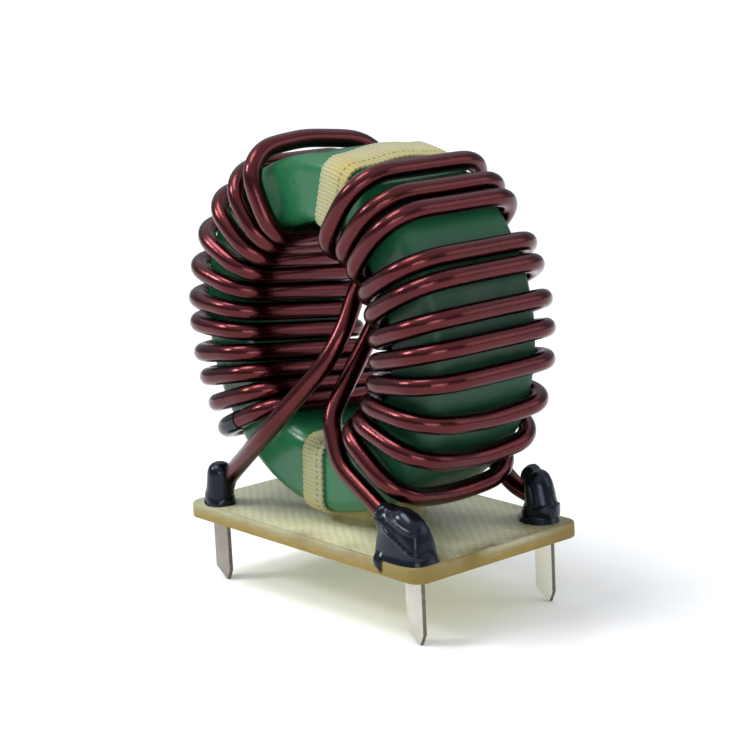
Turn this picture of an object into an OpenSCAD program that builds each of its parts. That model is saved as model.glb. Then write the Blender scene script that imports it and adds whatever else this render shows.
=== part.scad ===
// Common-mode choke: two enamelled copper windings on a coated ferrite ring,
// standing upright on a base board with four flat pins.
// Millimetres, +Z up, origin at the centre of the board's underside.
// The ring's axis lies along Y and its front face looks towards -Y.

/* [Core] */
// Outer diameter of the coated ring
core_od = 36.8; // [34:0.1:45]
// Bore of the coated ring
core_id = 22.2; // [22:0.1:27]
// Height of the coated ring along its axis
core_h = 13.8; // [11:0.1:17]
// Rounding of the ring's edges under the coating
core_edge = 1.5; // [0.8:0.1:2]
// Gap under the ring that the glue fills
core_stand = 1.4; // [1:0.1:3]
// Offset of the ring from the board's middle
core_shift = -0.5; // [-1:0.1:1]

/* [Winding] */
// Diameter of the enamelled wire
wire_d = 1.9; // [1.5:0.01:1.95]
// Free space between neighbouring turns in the bore
turn_gap = 0.25; // [0.15:0.01:0.3]
// Free space between the wire and the coating
lay_gap = 0.1; // [0.05:0.01:0.3]

/* [Tape] */
// Width of the separating tapes
tape_w = 3.1; // [2:0.1:4]
// Thickness of the separating tapes
tape_t = 0.4; // [0.2:0.05:0.6]
// Place of the upper tape around the ring
tape_top_angle = 74; // [72:0.5:80]
// Place of the lower tape around the ring
tape_bottom_angle = -93; // [-96:0.5:-90]

/* [Board] */
// Length of the base board beyond the ring's diameter
board_over_x = 0.2; // [-1:0.1:8]
// Width of the base board beyond the ring's height
board_over_y = 8.2; // [7.8:0.1:14]
// Thickness of the base board
board_t = 1.6; // [1:0.1:2.4]
// Corner radius of the base board
board_corner = 1; // [0.2:0.1:3]

/* [Pins] */
// How much closer the pins stand along the board than the ring is wide
pin_under_x = 5.8; // [4.8:0.1:7.8]
// How much further apart the pins stand across the board than the ring is high
pin_over_y = 3.7; // [2.9:0.1:4.2]
// Width of the pin blade
pin_w = 2.4; // [1.4:0.1:3]
// Thickness of the pin blade
pin_t = 0.5; // [0.3:0.05:0.8]
// Length of the pin below the board
pin_drop = 6.9; // [3:0.1:12]
// Length of the slanted pin point
pin_point = 1.1; // [0.4:0.1:2]
// Width of the tab that passes through the board
tab_w = 1.2; // [0.8:0.05:1.4]
// Height of the tab's stub above the board
tab_rise = 0.8; // [0.5:0.05:1.2]

/* [Boots] */
// Wall of the shrunk sleeves
boot_wall = 0.32; // [0.25:0.01:0.5]
// Height of the two narrow boots at the left
boot_low = 4.6; // [4.2:0.1:5]
// Height of the two boots at the right
boot_high = 5.4; // [5:0.1:5.6]
// Extra radius of the loose boot at the front right
boot_loose = 0.45; // [0:0.05:0.6]
// Spread of the foot of each boot on the board
boot_spread = 0.3; // [0.1:0.05:0.5]

/* [Hidden] */
// Facets around the wire, and steps in each of its bends
wire_sides = 10;
bend_steps = 4;
$fn = 96;
// Working clearance between pieces that are fitted together
fit = 0.1;
// Glue and solder lie against their neighbours with only this between
touch = 0.03;
wire_r = wire_d / 2;
core_r = core_od / 2;
bore_wall = core_id / 2;
core_z = board_t + core_stand + core_r;
board_x = core_od + board_over_x;
board_y = core_h + board_over_y;
pin_pitch_x = core_od - pin_under_x;
pin_pitch_y = core_h + pin_over_y;

// Circles and planes that the wire's centre line follows
rim_r = core_r + lay_gap + wire_r;
bore_r = bore_wall - lay_gap - wire_r;
face_y = core_h / 2 + lay_gap + wire_r;
bend_r = core_edge + lay_gap + wire_r;
// The first right-hand turn rides over the edge of the upper tape
over_tape = tape_t + lay_gap / 2;
turn_step = (wire_d + turn_gap) / bore_r * 180 / PI;

// Hand-laid turns: angle at the rim, sag of the lower turns and slack at the outer bends.
// Angles are measured up from the ring's waist, on the side of each coil.
right_start = 65.5;
right_rim = [58.5, 49, 42.5, 28, 21.5, 11, 2.5, -7, -19, -31, -46];
right_sag = [0, 0, 0, 0, 0, 0, 0, 0, 2.5, 4.5, 7];
right_front = [0.8, 0.8, 0.8, 0.8, 0.8, 0.8, 0.8, 0.8, 0.7, 0.6, 0.4];
right_back = [0.6, 0.5, 0.5, 0.5, 0.5, 0.4, 0.4, 0.4, 0.4, 0.5, 0.7];
left_start = 69;
left_rim = [70, 56, 43, 29.5, 17, 6, -2, -12, -20, -29, -38];
left_sag = [0, 0, 0, 0, 0, 0, 0, 0, 0, 0, 0];
left_front = [1, 0.8, 0.8, 0.7, 0.6, 0.6, 0.6, 0.6, 0.6, 0.6, 0.6];
left_back = [0.9, 0.5, 0.5, 0.5, 0.5, 0.5, 0.5, 0.5, 0.5, 0.5, 0.5];
// The first left-hand turn stands off the rim in a loose loop
loose_loop = 0.3;
// Wide bend where a turn bows out between its corners
bow_r = 16;
// Shares of the slack that lift a bend off the rim, and of the sag that show at the back and lift the bow
slack_lift = 0.4;
sag_back = 0.3;
sag_lift = 0.06;
// The stiff wire arches off the faces: a bend with more slack is wider, and still clears the ring
slack_widen = 1.25;
// Slack of the bends at the bore, along the axis and towards the middle
tuck_out = 0.35;
tuck_in = 0.1;
tuck_bend = bend_r + slack_widen * (tuck_out + tuck_in);
// Largest share of a straight run that one bend may take, and a direction to start the wire's facets from
bend_share = 0.49;
start_side = [1, 0.3, 0.2];

// Joints: each wire end stands over the inner edge of its pin's stub, half inside a boot
joint_in = 0.9;
joint_side = 0.25;
boot_side = 0.35;
cavity_r = wire_r + 0.3;
mouth_gap = 0.25;
knee_over = 0.6;
wire_foot = board_t + tab_rise + fit;
knee_low = wire_foot + 1.4;
knee_high = wire_foot + 1.4;
knee_r = 1;
neck_length = 3.4;
neck_share = 0.65;
neck_loose = 0.5;

// Each row: side along X, side along Y, extra radius, height, height of the wire's knee, foot torn or whole
boot_front_left_row = [-1, -1, 0, boot_low, knee_low, false];
boot_front_right_row = [1, -1, boot_loose, boot_high, knee_low, false];
boot_back_right_row = [1, 1, 0.1, boot_high, knee_high, true];
boot_back_left_row = [-1, 1, 0.1, boot_low, knee_high, false];

// Vector helpers
function unit(v) = v / norm(v);
function turned(v, axis, angle) = v * cos(angle) + cross(axis, v) * sin(angle);

// A point by radius and angle about the ring's axis; side is 1 for the right coil, -1 for the left
function spot(side, radius, angle, y) =
    [side * radius * cos(angle), core_shift + y, core_z + radius * sin(angle)];

// A point in the bore as shares of the bore radius and the face distance
function in_bore(x, y, z) = [x * bore_r, core_shift + y * face_y, core_z + z * bore_r];

// Foot of a wire over its pin's stub, at a given height
function joint(row, z) = [row[0] * (pin_pitch_x / 2 - joint_in), row[1] * pin_pitch_y / 2 - joint_side, z];

function slack_bend(slack, loop) = bend_r + slack_widen * ((1 + slack_lift) * slack + loop);

// Corners of one coil, each with its bend radius: four per turn, and one more where a turn bows out
function coil(side, start, rim, sag, front, back, first_lift, loop) = [
    for (k = [0 : len(rim) - 1])
        let (inner = start - turn_step * k,
             lift = k == 0 ? first_lift : 0,
             loose = k == 0 ? loop : 0,
             back_r = rim_r + loose + slack_lift * back[k],
             front_r = rim_r + loose + slack_lift * front[k],
             inner_r = bore_r - tuck_in)
        each concat(
            [[spot(side, back_r, rim[k] - sag_back * sag[k], face_y + back[k]), slack_bend(back[k], loose)]],
            sag[k] > 0 ? [[spot(side, rim_r + sag_lift * sag[k], rim[k] - sag[k], 0), bow_r]] : [],
            [[spot(side, front_r, rim[k], -face_y - front[k]), slack_bend(front[k], loose)],
             [spot(side, inner_r - lift, inner, -face_y - tuck_out - lift), tuck_bend],
             [spot(side, inner_r, inner - turn_step, face_y + tuck_out), tuck_bend]])];

// One bend: an arc between two straight runs, never longer than the runs allow
function bend(before, corner, after, wanted) =
    let (u = unit(before - corner), v = unit(after - corner), half = acos(u * v) / 2,
         room = bend_share * min(norm(before - corner), norm(after - corner)),
         reach = min(wanted / tan(half), room), radius = reach * tan(half),
         middle = corner + unit(u + v) * radius / sin(half),
         first = corner + u * reach - middle, last = corner + v * reach - middle,
         axis = unit(cross(first, last)))
    [for (i = [0 : bend_steps]) middle + turned(first, axis, (180 - 2 * half) * i / bend_steps)];

function rounded(route) = concat(
    [route[0][0]],
    [for (i = [1 : len(route) - 2]) each bend(route[i - 1][0], route[i][0], route[i + 1][0], route[i][1])],
    [route[len(route) - 1][0]]);

// Direction of the wire at one point, and a side direction carried along without twist
function along(line, i) = unit(line[min(i + 1, len(line) - 1)] - line[max(i - 1, 0)]);
function squared(side, way) = unit(side - way * (side * way));
function sides(line) = [
    for (i = 0, s = squared(start_side, along(line, 0)); i < len(line);
         i = i + 1, s = squared(s, along(line, i))) s];

// Round wire swept along a line of points
module wire(line) {
    side = sides(line);
    count = len(line);
    skin = [for (i = [0 : count - 1]) let (across = cross(along(line, i), side[i]))
        for (j = [0 : wire_sides - 1]) let (a = 360 * j / wire_sides)
            line[i] + wire_r * (cos(a) * side[i] + sin(a) * across)];
    walls = [for (i = [0 : count - 2]) for (j = [0 : wire_sides - 1])
        let (a = i * wire_sides + j, b = i * wire_sides + (j + 1) % wire_sides)
            each [[a, b + wire_sides, b], [a, a + wire_sides, b + wire_sides]]];
    foot = [[for (j = [0 : wire_sides - 1]) j]];
    head = [[for (j = [wire_sides - 1 : -1 : 0]) (count - 1) * wire_sides + j]];
    polyhedron(points = skin, faces = concat(walls, foot, head));
}

// The four leads, from their pins to the coils
lead_front_left = [
    [joint(boot_front_left_row, wire_foot), 0],
    [joint(boot_front_left_row, knee_low), knee_r],
    [in_bore(-0.37, -1, -0.96) - [0, wire_d + 0.3, 0], 14],
    [in_bore(0.3, -0.78, -0.14), 9],
    [in_bore(0.17, -0.2, 0.52), 8],
    [spot(1, bore_r - 0.6, right_start + 6, 0.63 * face_y), 3],
    [spot(1, bore_r - over_tape, right_start, face_y + over_tape), bend_r]];
lead_back_right = [
    [spot(1, rim_r + 1, -55, face_y + 0.9), 5],
    [joint(boot_back_right_row, knee_high), knee_r],
    [joint(boot_back_right_row, wire_foot), 0]];
lead_front_right = [
    [joint(boot_front_right_row, wire_foot), 0],
    [joint(boot_front_right_row, knee_low), knee_r],
    [spot(1, bore_r + 3.2, -67.5, -face_y - 0.4), 6],
    [in_bore(0.26, -0.92, -0.8), 5],
    [in_bore(0.17, 0, 0.02), 9],
    [in_bore(-0.16, 0.77, 0.76), 3],
    [spot(-1, bore_r, left_start, face_y), bend_r]];
lead_back_left = [
    [spot(-1, rim_r + 1, -55, face_y + 0.9), 5],
    [joint(boot_back_left_row, knee_high), knee_r],
    [joint(boot_back_left_row, wire_foot), 0]];

right_coil = coil(1, right_start, right_rim, right_sag, right_front, right_back, over_tape, 0);
left_coil = coil(-1, left_start, left_rim, left_sag, left_front, left_back, 0, loose_loop);
right_line = rounded(concat(lead_front_left, right_coil, lead_back_right));
left_line = rounded(concat(lead_front_right, left_coil, lead_back_left));

module winding_right() {
    color("Brown") wire(right_line);
}

module winding_left() {
    color("Maroon") wire(left_line);
}

// Solid of the ring, grown by a skin for the tapes
module ring(skin) {
    edge = core_edge + skin;
    inner = bore_wall - skin;
    outer = core_r + skin;
    tall = core_h + 2 * skin;
    translate([0, core_shift, core_z]) rotate([90, 0, 0]) rotate_extrude() difference() {
        translate([inner, -tall / 2]) square([outer - inner, tall]);
        for (x = [0, 1]) for (y = [0, 1]) translate([x ? outer : inner, (y - 0.5) * tall])
            mirror([x, 0]) mirror([0, y]) difference() {
                translate([-1, -1]) square(edge + 1);
                translate([edge, edge]) circle(edge);
            }
    }
}

module toroid_core() {
    color("ForestGreen") ring(0);
}

// A slab across the ring at one angle, as wide as the tape
module tape_slab(angle, width) {
    translate([0, core_shift, core_z]) rotate([0, -angle, 0])
        translate([0, -core_h, -width / 2]) cube([core_od, 2 * core_h, width]);
}

// One turn of tape around the ring's section
module tape(angle) {
    color("Cornsilk") intersection() {
        difference() {
            ring(tape_t);
            ring(touch);
        }
        tape_slab(angle, tape_w);
    }
}

module tape_top() {
    tape(tape_top_angle);
}

module tape_bottom() {
    tape(tape_bottom_angle);
}

// Bead of glue between the ring and the board, shaped by both
glue_x = 0.3 * core_od;
glue_y = 0.66 * core_h;
glue_offset = 0.05 * core_od;
glue_corner = 2;
glue_climb = 1.2;
module core_glue() {
    color("Goldenrod") difference() {
        translate([glue_offset, core_shift, board_t])
            linear_extrude(core_stand + glue_climb) round_box(glue_x, glue_y, glue_corner);
        rim_cylinder(core_r + touch);
        intersection() {
            rim_cylinder(core_r + tape_t + touch);
            tape_slab(tape_bottom_angle, tape_w + 2 * touch);
        }
    }
}

// A cylinder along the ring's axis, longer than the ring
module rim_cylinder(radius) {
    translate([0, core_shift, core_z]) rotate([90, 0, 0]) cylinder(h = 2 * core_h, r = radius, center = true);
}

// Rectangle with round corners, centred
module round_box(x, y, radius) {
    square([x - 2 * radius, y], center = true);
    square([x, y - 2 * radius], center = true);
    for (i = [-1, 1]) for (j = [-1, 1])
        translate([i * (x / 2 - radius), j * (y / 2 - radius)]) circle(radius);
}

// Places of the four pins
module at_pin(row) {
    translate([row[0] * pin_pitch_x / 2, row[1] * pin_pitch_y / 2, 0]) children();
}

module base_board() {
    slot_x = tab_w + fit;
    slot_y = pin_t + fit;
    color("Beige") difference() {
        linear_extrude(board_t) round_box(board_x, board_y, board_corner);
        for (i = [-1, 1]) for (j = [-1, 1]) at_pin([i, j])
            translate([-slot_x / 2, -slot_y / 2, -1]) cube([slot_x, slot_y, board_t + 2]);
    }
}

// Stamped pin: a tab through the board, shoulders against its underside, a slanted point off its middle
point_side = 0.29 * pin_w;
point_skew = 0.1;
module pin(row) {
    color("Silver") at_pin(row) rotate([90, 0, 0]) linear_extrude(pin_t, center = true) polygon([
        [-pin_w / 2, 0], [-pin_w / 2, point_skew - pin_drop + pin_point], [point_side, -pin_drop],
        [pin_w / 2, -pin_drop + pin_point], [pin_w / 2, 0], [tab_w / 2, 0],
        [tab_w / 2, board_t + tab_rise], [-tab_w / 2, board_t + tab_rise], [-tab_w / 2, 0]]);
}

module pin_front_left() {
    pin(boot_front_left_row);
}

module pin_front_right() {
    pin(boot_front_right_row);
}

module pin_back_right() {
    pin(boot_back_right_row);
}

module pin_back_left() {
    pin(boot_back_left_row);
}

// Fillet of solder round the tab and the foot of the wire, on the board
solder_r = cavity_r - fit;
solder_h = tab_rise + 0.5;
solder_top = 0.8;
module solder(row) {
    color("LightGrey") difference() {
        at_pin(row) translate([0, -boot_side, board_t])
            cylinder(h = solder_h, r1 = solder_r, r2 = solder_top * solder_r);
        at_pin(row) translate([-tab_w / 2, -pin_t / 2, 0]) cube([tab_w, pin_t, board_t + tab_rise]);
        translate(joint(row, wire_foot)) cylinder(h = solder_h, r = wire_r + touch);
    }
}

module solder_front_left() {
    solder(boot_front_left_row);
}

module solder_front_right() {
    solder(boot_front_right_row);
}

module solder_back_right() {
    solder(boot_back_right_row);
}

module solder_back_left() {
    solder(boot_back_left_row);
}

// A cylinder from one point towards another
module towards(from, to, length, radius) {
    way = unit(to - from);
    translate(from) rotate([0, acos(way[2]), atan2(way[1], way[0])]) cylinder(h = length, r = radius);
}

// Shrunk sleeve: a domed body over the joint, a foot spread on the board, a neck drawn onto the wire
foot_rim = 0.35;
foot_flare = 1.2;
dome_start = 1.1;
dome_middle = 0.4;
dome_shoulder = 0.8;
dome_crown = 0.4;
// A torn foot leaves a low collar on the board, with a groove between it and the sleeve's skirt
collar_h = 0.45;
tear_depth = 0.14;
tear_slope = 0.1;
tear_h = 0.2;
skirt_h = 1.5;
function foot_outline(body, torn) = torn
    ? [[body + boot_spread, 0], [body + boot_spread, collar_h], [body - tear_depth, collar_h + tear_slope],
       [body - tear_depth, collar_h + tear_h], [body + boot_spread, collar_h + tear_h + tear_slope],
       [body, collar_h + tear_h + skirt_h]]
    : [[body + boot_spread, 0], [body + boot_spread, foot_rim], [body, foot_flare]];

module boot(row, next) {
    body = cavity_r + boot_wall + row[2];
    height = row[3];
    knee = joint(row, row[4]);
    neck = min(neck_length, neck_share * norm(next - knee));
    mouth = wire_r + max(fit + neck_loose * row[2], mouth_gap);
    middle = [row[0] * pin_pitch_x / 2, row[1] * pin_pitch_y / 2 - boot_side, board_t];
    color("DimGray") difference() {
        union() {
            translate(middle) rotate_extrude() polygon(concat(
                [[0, 0]], foot_outline(body, row[5]),
                [[body, height - dome_start], [dome_shoulder * body, height - dome_middle],
                 [dome_crown * body, height], [0, height]]));
            towards(knee, next, neck, mouth + boot_wall);
        }
        translate(middle) translate([0, 0, -1]) cylinder(h = height, r = cavity_r + row[2]);
        translate(joint(row, board_t - 1))
            cylinder(h = row[4] - board_t + 1 + knee_over, r = wire_r + mouth_gap);
        towards(knee, next, neck_length + 1, mouth);
    }
}

module boot_front_left() {
    boot(boot_front_left_row, lead_front_left[2][0]);
}

module boot_front_right() {
    boot(boot_front_right_row, lead_front_right[2][0]);
}

module boot_back_right() {
    boot(boot_back_right_row, lead_back_right[0][0]);
}

module boot_back_left() {
    boot(boot_back_left_row, lead_back_left[0][0]);
}

toroid_core();
winding_left();
winding_right();
tape_top();
tape_bottom();
core_glue();
base_board();
pin_front_left();
pin_front_right();
pin_back_right();
pin_back_left();
solder_front_left();
solder_front_right();
solder_back_right();
solder_back_left();
boot_front_left();
boot_front_right();
boot_back_right();
boot_back_left();
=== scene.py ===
import math

import bmesh
import bpy
from mathutils import Matrix, Vector, noise


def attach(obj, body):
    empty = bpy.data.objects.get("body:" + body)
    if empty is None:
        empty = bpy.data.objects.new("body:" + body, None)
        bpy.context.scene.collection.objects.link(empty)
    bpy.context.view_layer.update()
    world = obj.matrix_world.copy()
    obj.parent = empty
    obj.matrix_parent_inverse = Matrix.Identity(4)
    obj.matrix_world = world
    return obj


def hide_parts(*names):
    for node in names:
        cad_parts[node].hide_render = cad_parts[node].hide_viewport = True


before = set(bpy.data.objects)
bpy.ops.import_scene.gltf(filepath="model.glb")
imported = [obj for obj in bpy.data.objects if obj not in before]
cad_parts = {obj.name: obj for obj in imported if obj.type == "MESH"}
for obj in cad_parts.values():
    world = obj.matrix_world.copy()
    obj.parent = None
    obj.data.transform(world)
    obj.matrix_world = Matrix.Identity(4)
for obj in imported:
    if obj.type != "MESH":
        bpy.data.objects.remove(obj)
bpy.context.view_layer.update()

# Sizes in millimetres, the same as the solids have
MM = 0.001
CORE_R = 18.4
BORE_WALL = 11.1
CORE_H = 13.8
CORE_EDGE = 1.5
CORE_SHIFT = -0.5
BOARD_X, BOARD_Y, BOARD_T = 37.0, 22.0, 1.6
BOARD_CORNER = 1.5
CORE_Z = BOARD_T + 1.4 + CORE_R
WIRE_D = 1.9
WIRE_R = WIRE_D / 2
LAY_GAP = 0.1
TURN_GAP = 0.25
TAPE_W, TAPE_T = 3.1, 0.4
TAPE_TOP_ANGLE, TAPE_BOTTOM_ANGLE = 74, -93
TOUCH = 0.03
PIN_X, PIN_Y = 15.5, 8.75
PIN_W, PIN_T, PIN_DROP, PIN_POINT = 2.4, 0.5, 6.9, 1.1
TAB_W, TAB_RISE = 1.2, 0.8
SLOT_FIT = 0.1

# The camera of the photograph: place in millimetres and the three directions of its frame
CAMERA_PLACE = Vector((163.408, -136.387, 62.847))
CAMERA_RIGHT = Vector((0.64936, 0.75904, -0.04684))
CAMERA_UP = Vector((-0.13403, 0.17485, 0.97543))
CAMERA_AHEAD = Vector((-0.74858, 0.62713, -0.21527))
CAMERA_LENS = 102.45


def add(tree, kind, inputs=None, **settings):
    """One node of a tree with its settings, values and links; a node as a value links by its first output."""
    node = tree.nodes.new(kind if "Node" in kind else "ShaderNode" + kind)
    for name, value in settings.items():
        setattr(node, name, value)
    for name, value in (inputs or {}).items():
        if isinstance(value, bpy.types.Node):
            value = value.outputs[0]
        if isinstance(value, bpy.types.NodeSocket):
            tree.links.new(value, node.inputs[name])
        else:
            node.inputs[name].default_value = value
    return node


def colour(code):
    """An sRGB hex colour as linear red, green, blue and alpha."""
    parts = [int(code[i:i + 2], 16) / 255 for i in (1, 3, 5)]
    return [p / 12.92 if p <= 0.04045 else ((p + 0.055) / 1.055) ** 2.4 for p in parts] + [1.0]


def per_mm(size):
    """Texture scale that makes one feature of a pattern this many millimetres wide."""
    return 1 / (size * MM)


def new_material(name):
    """An empty material, its tree and the coordinates of the piece in metres."""
    material = bpy.data.materials.new(name)
    material.use_nodes = True
    tree = material.node_tree
    tree.nodes.clear()
    return material, tree, add(tree, "TexCoord").outputs["Object"]


def finished(material, look):
    """The material with the shader that has this look."""
    tree = material.node_tree
    add(tree, "OutputMaterial", {"Surface": add(tree, "BsdfPrincipled", look)})
    return material


def layered(tree, base, *layers):
    """Colours laid over one another, each by its share; a colour is a hex value or an earlier layering."""
    tone, *tints = [colour(c) if isinstance(c, str) else c for c in (base, *(tint for _, tint in layers))]
    for (share, _), tint in zip(layers, tints):
        tone = add(tree, "Mix", {0: share, 6: tone, 7: tint}, data_type="RGBA").outputs[2]
    return tone


def green_epoxy_powder_coat():
    # Fused epoxy powder on ferrite: deep glossy green, with the slow swell and fine peel of a thick coat
    material, tree, place = new_material("green_epoxy_powder_coat")
    cloud = add(tree, "TexNoise", {"Vector": place, "Scale": per_mm(5), "Detail": 3})
    peel = add(tree, "TexNoise", {"Vector": place, "Scale": per_mm(0.9), "Detail": 2})
    # The plain coat, and a darker copy of it for the painted shade
    thin = layered(tree, "#185835", (cloud, "#266C45"))
    shaded_coat = layered(tree, "#0C2E1E", (cloud, "#184A30"))
    # Painted shade: the coat is painted darker towards the right rim, and less so on the upper quarter, where
    # light is painted in
    axes = add(tree, "SeparateXYZ", {0: place}).outputs
    right = add(tree, "MapRange", {"Value": axes["X"], "From Min": 6 * MM, "From Max": 13 * MM})
    upper = add(tree, "MapRange", {
        "Value": axes["Z"], "From Min": 27 * MM, "From Max": 34 * MM, "To Min": 1.0, "To Max": 0.25})
    painted_shade = add(tree, "Math", {0: right, 1: upper}, operation="MULTIPLY")
    # The coat is also rougher where this shade is painted
    shade_dulls = 0.2
    dull = add(tree, "MapRange", {
        "Value": cloud, "From Min": 0.35, "From Max": 0.65, "To Min": 0.16, "To Max": 0.36})
    rough = add(tree, "Math", {0: painted_shade, 1: shade_dulls, 2: dull}, operation="MULTIPLY_ADD")
    swell = add(tree, "Bump", {"Height": cloud, "Strength": 0.4, "Distance": 0.3 * MM})
    skin = add(tree, "Bump", {"Height": peel, "Strength": 0.45, "Distance": 0.1 * MM, "Normal": swell})
    return finished(material, {
        "Base Color": layered(tree, thin, (painted_shade, shaded_coat)), "Roughness": rough, "Normal": skin,
        "Specular IOR Level": 0.4})


def enamelled_copper():
    # Drawn copper under baked enamel: the red metal glows through a dark clear coat that keeps white glints
    material, tree, place = new_material("enamelled_copper_wire")
    cloud = add(tree, "TexNoise", {"Vector": place, "Scale": per_mm(4), "Detail": 3})
    scuff = add(tree, "TexNoise", {"Vector": place, "Scale": per_mm(0.28), "Detail": 4})
    dull = add(tree, "MapRange", {"Value": scuff, "To Min": 0.15, "To Max": 0.29})
    skin = add(tree, "Bump", {"Height": scuff, "Strength": 0.3, "Distance": 0.05 * MM})
    return finished(material, {
        "Base Color": layered(tree, "#431619", (cloud, "#5C1F22")), "Metallic": 1.0, "Roughness": dull,
        "Normal": skin, "Coat Normal": skin, "Coat Weight": 0.26, "Coat Roughness": 0.17, "Coat IOR": 1.55})


def woven_cloth_tape():
    # Woven cloth tape: dull cream threads with painted shade in the weave, and an amber stain where glue
    # soaked in
    material, tree, place = new_material("woven_cloth_tape")
    cloud = add(tree, "TexNoise", {"Vector": place, "Scale": per_mm(2.5), "Detail": 3})
    fibre = add(tree, "TexNoise", {"Vector": place, "Scale": per_mm(0.18), "Detail": 2})
    # The painted shade of the weave, the glue stain, the place across the band and the holes, as the mesh
    # carries them
    painted_shade, stain, across, hole = (add(tree, "Attribute", attribute_name=name).outputs["Fac"]
                                  for name in ("thread_depth", "stain", "across", "hole"))
    # The far edge is thin and lets the green through, the near edge is yellowed
    thin = add(tree, "MapRange", {
        "Value": across, "From Min": 0.5 * MM, "From Max": 1.6 * MM, "To Max": 0.7})
    yellow = add(tree, "MapRange", {
        "Value": across, "From Min": -0.4 * MM, "From Max": -1.6 * MM, "To Max": 0.6})
    # Painted shade: the lower band is painted darker and greener
    axes = add(tree, "SeparateXYZ", {0: place}).outputs
    low_band_shade = add(tree, "MapRange", {
        "Value": axes["Z"], "From Min": 16 * MM, "From Max": 6 * MM, "To Max": 0.55})
    soaked = add(tree, "Math", {0: stain, 1: cloud}, operation="MULTIPLY")
    # Holes along one edge show the dark coat below
    pierced = add(tree, "MapRange", {"Value": hole, "To Max": 0.75})
    tone = layered(tree, "#AAA576", (cloud, "#BAB58A"), (thin, "#98A287"), (yellow, "#B5A55A"),
                   (low_band_shade, "#7E8660"), (painted_shade, "#8A8558"), (soaked, "#C09A24"), (pierced, "#3C4A2C"))
    skin = add(tree, "Bump", {"Height": fibre, "Strength": 0.4, "Distance": 0.06 * MM})
    return finished(material, {"Base Color": tone, "Normal": skin, "Roughness": 0.72, "Sheen Weight": 0.15})


def stained_rim(tree, place, cloud):
    """How brown the laminate is: in blots along its sawn edges, and more at its corners."""
    rim_reach, corner_reach, corner_power = 3, 7, 0.42
    whole = add(tree, "VectorMath", {0: place}, operation="ABSOLUTE")
    axes = add(tree, "SeparateXYZ", {0: whole}).outputs
    near = {}
    for axis, half in (("X", BOARD_X / 2), ("Y", BOARD_Y / 2)):
        for reach in (rim_reach, corner_reach):
            near[axis, reach] = add(tree, "MapRange", {
                "Value": axes[axis], "From Min": (half - reach) * MM, "From Max": half * MM})
    edge = add(tree, "Math", {0: near["X", rim_reach], 1: near["Y", rim_reach]}, operation="MAXIMUM")
    both = add(tree, "Math", {0: near["X", corner_reach], 1: near["Y", corner_reach]}, operation="MULTIPLY")
    corner = add(tree, "Math", {0: both, 1: corner_power}, operation="POWER")
    blot = add(tree, "MapRange", {"Value": cloud, "From Min": 0.4, "From Max": 0.66})
    streak = add(tree, "Math", {0: edge, 1: blot}, operation="MULTIPLY")
    brown = add(tree, "Math", {0: streak, 1: corner}, operation="MAXIMUM")
    # The left end was cut clean
    side = add(tree, "SeparateXYZ", {0: place}).outputs
    right = add(tree, "MapRange", {
        "Value": side["X"], "From Min": -16 * MM, "From Max": 8 * MM, "To Min": 0.1})
    return add(tree, "Math", {0: brown, 1: right}, operation="MULTIPLY", use_clamp=True)


def glass_epoxy_face():
    # Bare glass-epoxy laminate: pale grey-green resin with the glass weave just under a satin face,
    # browned where the edges were cut
    material, tree, place = new_material("bare_glass_epoxy_laminate")
    axes = add(tree, "SeparateXYZ", {0: place}).outputs
    cloud = add(tree, "TexNoise", {"Vector": place, "Scale": per_mm(6), "Detail": 4})
    # Glass yarns lie 0.7 mm apart along the board and 0.5 mm apart across it, and wander by some radians
    yarn_pitches, yarn_wander = (("X", 0.7), ("Y", 0.5)), 5.0
    wander = add(tree, "Math", {0: cloud, 1: yarn_wander}, operation="MULTIPLY")
    waves = []
    for axis, pitch in yarn_pitches:
        turn = add(tree, "Math", {
            0: axes[axis], 1: math.pi * per_mm(pitch), 2: wander}, operation="MULTIPLY_ADD")
        waves.append(add(tree, "Math", {0: turn}, operation="SINE"))
    weave = add(tree, "Math", {0: waves[0], 1: waves[1]}, operation="MULTIPLY")
    yarn = add(tree, "MapRange", {"Value": weave, "From Min": -0.7, "From Max": 0.8})
    show = add(tree, "MapRange", {
        "Value": cloud, "From Min": 0.3, "From Max": 0.7, "To Min": 0.3, "To Max": 0.85})
    # Painted light and shade: the laminate is painted darker and greyer at its left end and brighter towards
    # the right, and its weave is fainter at the left
    along = add(tree, "MapRange", {"Value": axes["X"], "From Min": -17 * MM, "From Max": 4 * MM})
    clear = add(tree, "MapRange", {"Value": along, "To Min": 0.35})
    seen = add(tree, "Math", {0: show, 1: clear}, operation="MULTIPLY")
    share = add(tree, "Math", {0: yarn, 1: seen}, operation="MULTIPLY")
    shaded_left_tone = layered(tree, "#A8AA82", (cloud, "#B4B698"))
    lit_right_tone = layered(tree, "#D2CF92", (cloud, "#E0DEB4"))
    brown = stained_rim(tree, place, cloud)
    tone = layered(tree, shaded_left_tone, (along, lit_right_tone), (share, "#F0EEDC"), (brown, "#6C602E"))
    skin = add(tree, "Bump", {"Height": yarn, "Strength": 0.35, "Distance": 0.03 * MM})
    return finished(material, {
        "Base Color": tone, "Normal": skin, "Roughness": 0.24, "Specular IOR Level": 0.3})


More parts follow.
